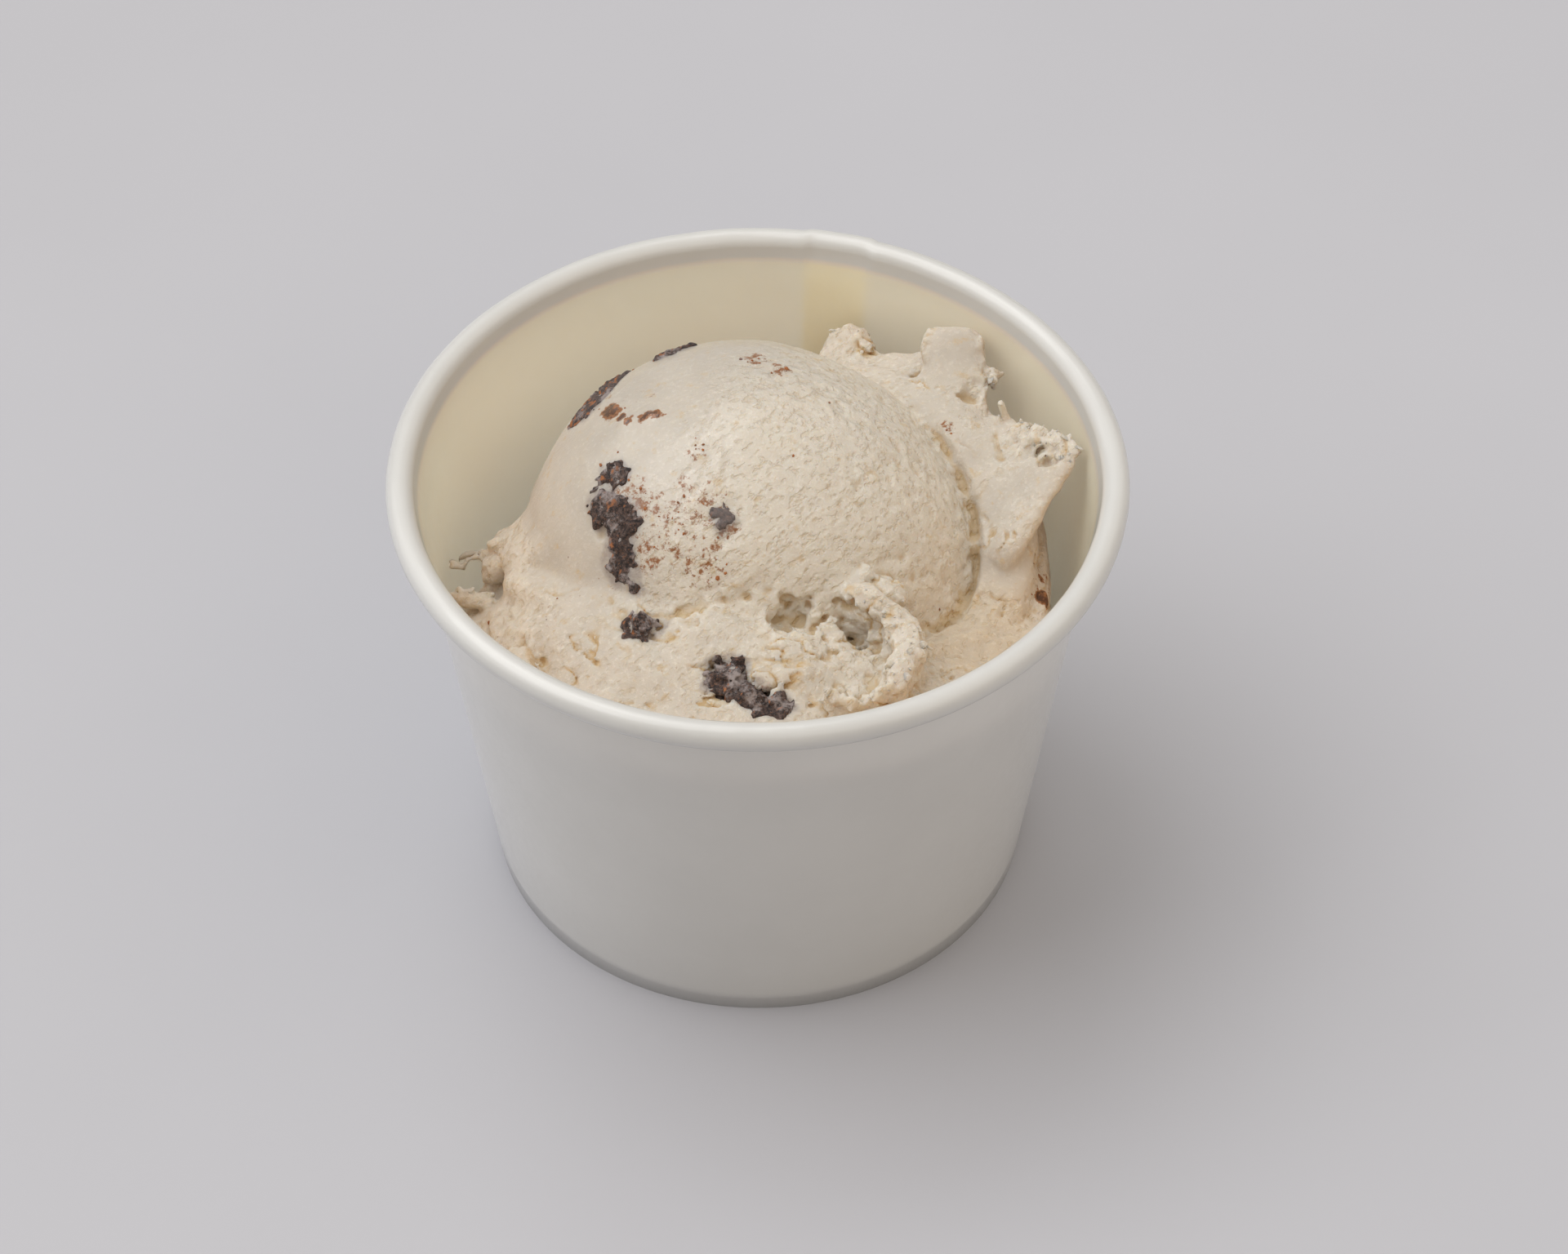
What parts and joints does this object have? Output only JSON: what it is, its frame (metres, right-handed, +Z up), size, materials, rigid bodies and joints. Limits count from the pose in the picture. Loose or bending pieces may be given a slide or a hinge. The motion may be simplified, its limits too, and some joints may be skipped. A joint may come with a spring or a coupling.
{
  "type": "cup of ice cream",
  "caption": "Plain paper cup with a rolled rim, holding a scoop of cream coloured ice cream with dark cookie pieces pressed into a torn bed.",
  "frame": {"origin": "centre of the cup's foot ring, on the table", "axes": "+Z up along the cup's axis, -Y towards the viewer of the picture, +X to the viewer's right"},
  "size_m": [0.09, 0.09, 0.068],
  "materials": {
    "paper": "smooth white coated paper, warm off-white inside",
    "ice_cream": "cream coloured, soft and slightly wet, with torn granular edges",
    "cookie": "dark brown crumbly cookie"
  },
  "bodies": {
    "root": {"cup_wall": "paper", "cup_base": "paper", "ice_cream": "ice_cream", "cookie_streak": "cookie", "cookie_low": "cookie", "cookie_front": "cookie", "cookie_left": "cookie", "cookie_top": "cookie", "cookie_middle": "cookie"}
  },
  "joints": []
}
